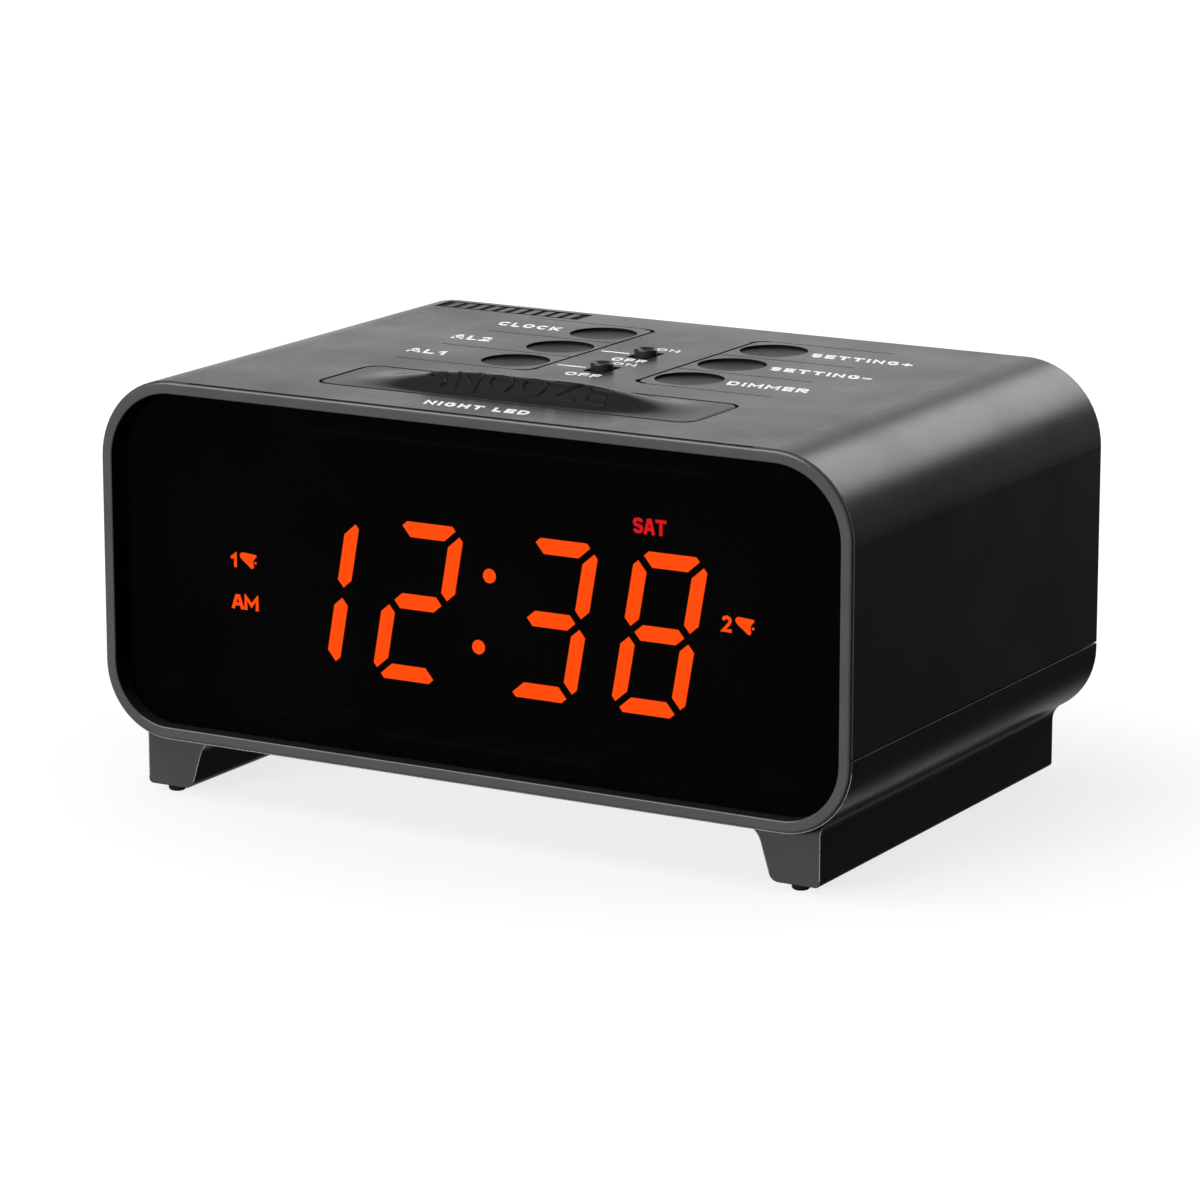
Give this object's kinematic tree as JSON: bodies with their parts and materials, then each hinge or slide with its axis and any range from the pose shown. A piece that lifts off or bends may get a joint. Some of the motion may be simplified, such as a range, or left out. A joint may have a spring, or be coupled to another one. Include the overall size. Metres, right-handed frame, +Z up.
{
  "type": "clock radio",
  "caption": "Bedside clock radio: a rounded box on runner feet, with a lit digital display behind a smoked lens, a domed snooze bar, push buttons and slide switches on top.",
  "frame": {"origin": "on the surface that the clock stands on, under the middle of the body", "axes": "+X to the right seen from the front, +Y to the back, +Z up; the display faces -Y"},
  "size_m": [0.16, 0.1036, 0.0838],
  "materials": {
    "case_plastic": "fine satin grain, charcoal grey",
    "bezel_plastic": "satin metallic grey",
    "smoked_lens": "gloss, black tinted",
    "display_black": "matt black",
    "lit_orange": "lit red-orange",
    "segment_dark": "unlit diffuser",
    "key_plastic": "satin, dark grey",
    "knob_plastic": "semi-gloss black",
    "board_green": "solder mask",
    "switch_black": "matt",
    "steel_plain": "bright zinc plate",
    "ribbon_grey": "flat cable",
    "inlay_dark": "satin",
    "chip_black": "matt epoxy",
    "capacitor_blue": "sleeve",
    "cone_paper": "coated paper",
    "magnet_ferrite": "ferrite",
    "cell_jacket": "printed jacket, plain",
    "night_diffuser": "milky diffuser",
    "rubber_black": "matt"
  },
  "bodies": {
    "case": {"upper_housing": "case_plastic", "lower_housing": "case_plastic", "rear_panel": "case_plastic", "front_bezel": "bezel_plastic", "display_lens": "smoked_lens", "led_module": "display_black", "lit_segments": "lit_orange", "unlit_segments": "segment_dark", "display_pcb": "board_green", "display_ribbon": "ribbon_grey", "slide_switch_bodies": "steel_plain", "tact_switches": "switch_black", "key_pcb": "board_green", "key_pcb_screws": "steel_plain", "key_ribbon": "ribbon_grey", "top_inlay": "inlay_dark", "main_pcb": "board_green", "main_pcb_screws": "steel_plain", "control_chip": "chip_black", "capacitors": "capacitor_blue", "tuner_can": "steel_plain", "dc_jack": "switch_black", "speaker_frame": "steel_plain", "speaker_cone": "cone_paper", "speaker_magnet": "magnet_ferrite", "speaker_screws": "steel_plain", "backup_cells": "cell_jacket", "battery_contacts": "steel_plain", "night_light_lens": "night_diffuser", "night_led_board": "board_green", "rubber_feet": "rubber_black", "case_screws": "steel_plain"},
    "snooze": {"snooze_bar": "key_plastic", "snooze_frame": "key_plastic"},
    "clock_key": {"clock_button": "key_plastic"},
    "al2_key": {"al2_button": "key_plastic"},
    "al1_key": {"al1_button": "key_plastic"},
    "plus_key": {"setting_plus_button": "key_plastic"},
    "minus_key": {"setting_minus_button": "key_plastic"},
    "dimmer_key": {"dimmer_button": "key_plastic"},
    "al1_knob": {"al1_switch_knob": "knob_plastic"},
    "al2_knob": {"al2_switch_knob": "knob_plastic"},
    "battery_cover": {"battery_door": "case_plastic"}
  },
  "joints": [
    {"name": "snooze_press", "type": "slide", "parent": "case", "child": "snooze", "axis": [0, 0, -1], "range_m": [0, 0.001], "stiffness_N_per_m": 900, "springref_m": -0.0008},
    {"name": "clock_press", "type": "slide", "parent": "case", "child": "clock_key", "axis": [0, 0, -1], "range_m": [0, 0.0006], "stiffness_N_per_m": 900, "springref_m": -0.0008},
    {"name": "al2_press", "type": "slide", "parent": "case", "child": "al2_key", "axis": [0, 0, -1], "range_m": [0, 0.0006], "stiffness_N_per_m": 900, "springref_m": -0.0008},
    {"name": "al1_press", "type": "slide", "parent": "case", "child": "al1_key", "axis": [0, 0, -1], "range_m": [0, 0.0006], "stiffness_N_per_m": 900, "springref_m": -0.0008},
    {"name": "plus_press", "type": "slide", "parent": "case", "child": "plus_key", "axis": [0, 0, -1], "range_m": [0, 0.0006], "stiffness_N_per_m": 900, "springref_m": -0.0008},
    {"name": "minus_press", "type": "slide", "parent": "case", "child": "minus_key", "axis": [0, 0, -1], "range_m": [0, 0.0006], "stiffness_N_per_m": 900, "springref_m": -0.0008},
    {"name": "dimmer_press", "type": "slide", "parent": "case", "child": "dimmer_key", "axis": [0, 0, -1], "range_m": [0, 0.0006], "stiffness_N_per_m": 900, "springref_m": -0.0008},
    {"name": "al1_slide", "type": "slide", "parent": "case", "child": "al1_knob", "axis": [0, 1, 0], "range_m": [-0.001, 0.001]},
    {"name": "al2_slide", "type": "slide", "parent": "case", "child": "al2_knob", "axis": [0, 1, 0], "range_m": [-0.001, 0.001]},
    {"name": "battery_cover_slide", "type": "slide", "parent": "case", "child": "battery_cover", "axis": [0, 1, 0], "range_m": [0, 0.026]}
  ]
}
